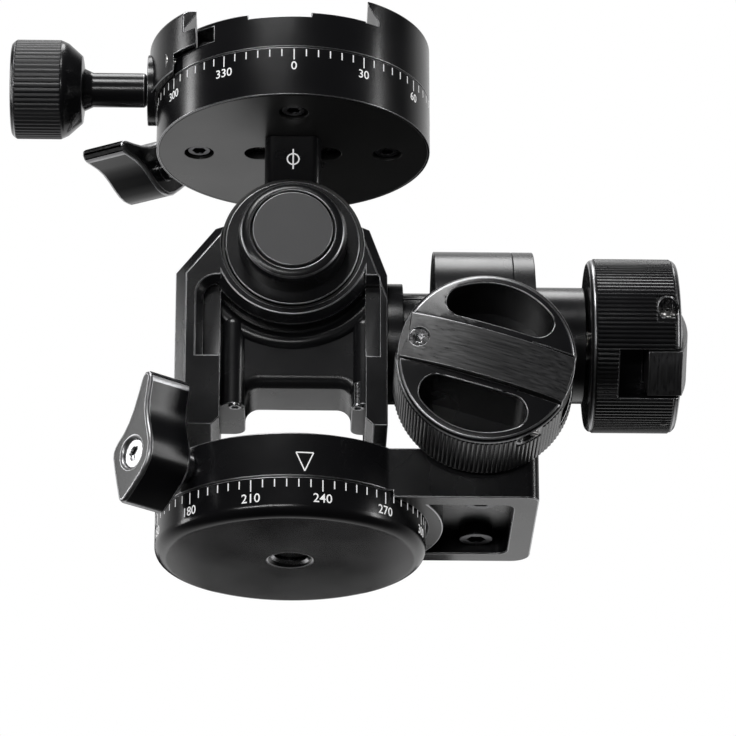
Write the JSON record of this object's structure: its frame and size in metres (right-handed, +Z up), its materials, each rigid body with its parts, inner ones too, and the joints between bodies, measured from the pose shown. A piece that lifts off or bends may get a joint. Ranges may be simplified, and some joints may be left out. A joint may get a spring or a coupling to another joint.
{
  "type": "geared tripod head",
  "caption": "Geared tripod head: worm-driven tilt and roll with large knurled knobs, a locking pan base with degree dial, and a panning dovetail clamp on top.",
  "frame": {"origin": "mouth of the tripod thread, at the centre of the base's underside", "axes": "+Z up along the pan axis, +X towards the roll knob, -Y towards the tilt knob"},
  "size_m": [0.1469, 0.074, 0.1201],
  "materials": {
    "black_anodised": "satin black anodised",
    "dial_black": "satin black anodised with a turned face",
    "knob_black": "black anodised, knurled round the rim",
    "lever_black": "satin black anodised",
    "cap_black": "satin black anodised",
    "clamp_black": "satin black anodised",
    "steel": "turned steel",
    "screw_steel": "plain steel",
    "dark_screw": "blackened steel",
    "chrome": "bright chrome",
    "bronze": "plain bearing bronze",
    "brass": "plain brass",
    "bush_black": "black bearing polymer",
    "glide": "matt white polymer"
  },
  "bodies": {
    "base": {"base_dial": "dial_black", "pan_drum": "steel", "pan_drum_screws": "screw_steel"},
    "pan_head": {"pan_ring": "black_anodised", "pan_glide_ring": "glide", "pan_cap": "cap_black", "upright_housing": "black_anodised", "upright_cover": "black_anodised", "cover_screws": "dark_screw", "upright_screws": "dark_screw", "tilt_shaft_bushes": "bronze", "tilt_worm_bushes": "bronze"},
    "pan_lever": {"pan_lock_lever": "lever_black", "pan_lock_stud": "chrome", "pan_lever_screw": "screw_steel"},
    "pan_shoe": {"pan_lock_shoe": "brass"},
    "tilt_yoke": {"tilt_frame": "black_anodised", "frame_rear_plate": "black_anodised", "rear_plate_screws": "screw_steel", "flange_screws": "dark_screw", "foot_screws": "screw_steel", "roll_bushes": "bush_black", "roll_worm_bushes": "bronze", "tilt_shaft": "black_anodised", "tilt_gear": "bronze", "tilt_collar": "black_anodised", "drive_shaft_bush": "bronze"},
    "tilt_drive": {"tilt_worm": "steel", "tilt_knob_sleeve": "knob_black", "tilt_knob_screw": "dark_screw", "tilt_knob_pin": "steel"},
    "tilt_flip": {"tilt_flip_lever": "knob_black", "tilt_flip_lever_grub": "screw_steel"},
    "roll_drive": {"roll_drive_shaft": "steel", "roll_knob_sleeve": "knob_black", "roll_knob_screw": "dark_screw", "roll_knob_pin": "steel"},
    "roll_flip": {"roll_flip_lever": "knob_black", "roll_flip_lever_grub": "screw_steel"},
    "roll_head": {"head_neck": "black_anodised", "roll_gear_sector": "bronze", "hub_front_disc": "black_anodised", "hub_front_cap": "cap_black", "hub_rear_disc": "black_anodised", "platform_dial": "dial_black", "platform_plate": "cap_black", "platform_screws": "dark_screw", "neck_screws": "dark_screw"},
    "dial_lever": {"dial_lock_lever": "lever_black", "dial_lock_stud": "chrome", "dial_lever_screw": "screw_steel"},
    "dial_shoe": {"dial_lock_shoe": "brass"},
    "clamp": {"clamp_body": "clamp_black", "clamp_drum": "steel", "clamp_drum_screws": "screw_steel"},
    "jaw": {"clamp_jaw": "clamp_black", "clamp_guide_pins": "steel"},
    "clamp_turner": {"clamp_knob": "knob_black", "clamp_screw": "steel"}
  },
  "joints": [
    {"name": "pan", "type": "hinge", "parent": "base", "child": "pan_head", "pos_m": [0, 0, 0.014], "axis": [0, 0, 1], "continuous": true},
    {"name": "tilt", "type": "hinge", "parent": "pan_head", "child": "tilt_yoke", "pos_m": [0.0398, 0, 0.0494], "axis": [-1, 0, 0], "range_deg": [-20, 90]},
    {"name": "tilt_knob_turn", "type": "hinge", "parent": "pan_head", "child": "tilt_drive", "pos_m": [0.0398, 0, 0.0305], "axis": [0, 1, 0], "range_deg": [-1040, 4680]},
    {"name": "tilt_lever_flip", "type": "hinge", "parent": "tilt_drive", "child": "tilt_flip", "pos_m": [0.05207, -0.0368, 0.02686], "axis": [0.284, 0, 0.9588], "range_deg": [0, 90]},
    {"name": "roll", "type": "hinge", "parent": "tilt_yoke", "child": "roll_head", "pos_m": [0, 0, 0.0671], "axis": [0, 1, 0], "range_deg": [-20, 20]},
    {"name": "roll_knob_turn", "type": "hinge", "parent": "tilt_yoke", "child": "roll_drive", "pos_m": [0, 0, 0.0494], "axis": [1, 0, 0], "range_deg": [-960, 960]},
    {"name": "roll_lever_flip", "type": "hinge", "parent": "roll_drive", "child": "roll_flip", "pos_m": [0.0795, -0.0096, 0.04093], "axis": [0, 0.6613, -0.7501], "range_deg": [0, 90]},
    {"name": "pan_lock_turn", "type": "hinge", "parent": "pan_head", "child": "pan_lever", "pos_m": [-0.02681, -0.0225, 0.01365], "axis": [-0.766, -0.6428, 0], "range_deg": [0, 90]},
    {"name": "pan_shoe_slide", "type": "slide", "parent": "pan_head", "child": "pan_shoe", "axis": [-0.766, -0.6428, 0], "range_m": [0, 0.00025]},
    {"name": "dial_lock_turn", "type": "hinge", "parent": "roll_head", "child": "dial_lever", "pos_m": [-0.03, 0.01803, 0.0985], "axis": [-0.8572, 0.515, 0], "range_deg": [0, 90]},
    {"name": "dial_shoe_slide", "type": "slide", "parent": "roll_head", "child": "dial_shoe", "axis": [-0.8572, 0.515, 0], "range_m": [0, 0.00025]},
    {"name": "clamp_pan", "type": "hinge", "parent": "roll_head", "child": "clamp", "pos_m": [0, 0, 0.106], "axis": [0, 0, 1], "continuous": true},
    {"name": "jaw_slide", "type": "slide", "parent": "clamp", "child": "jaw", "axis": [-1, 0, 0], "range_m": [0, 0.005]},
    {"name": "clamp_knob_turn", "type": "hinge", "parent": "jaw", "child": "clamp_turner", "pos_m": [-0.05, 0, 0.1094], "axis": [-1, 0, 0], "range_deg": [0, 2571.5]}
  ],
  "couplings": [
    {"joint": "tilt_knob_turn", "follows": "tilt", "ratio": 52},
    {"joint": "roll_knob_turn", "follows": "roll", "ratio": 48},
    {"joint": "pan_shoe_slide", "follows": "pan_lock_turn", "m_per_rad": 0.00012732},
    {"joint": "dial_shoe_slide", "follows": "dial_lock_turn", "m_per_rad": 0.00012732},
    {"joint": "clamp_knob_turn", "follows": "jaw_slide", "rad_per_m": 8976}
  ]
}
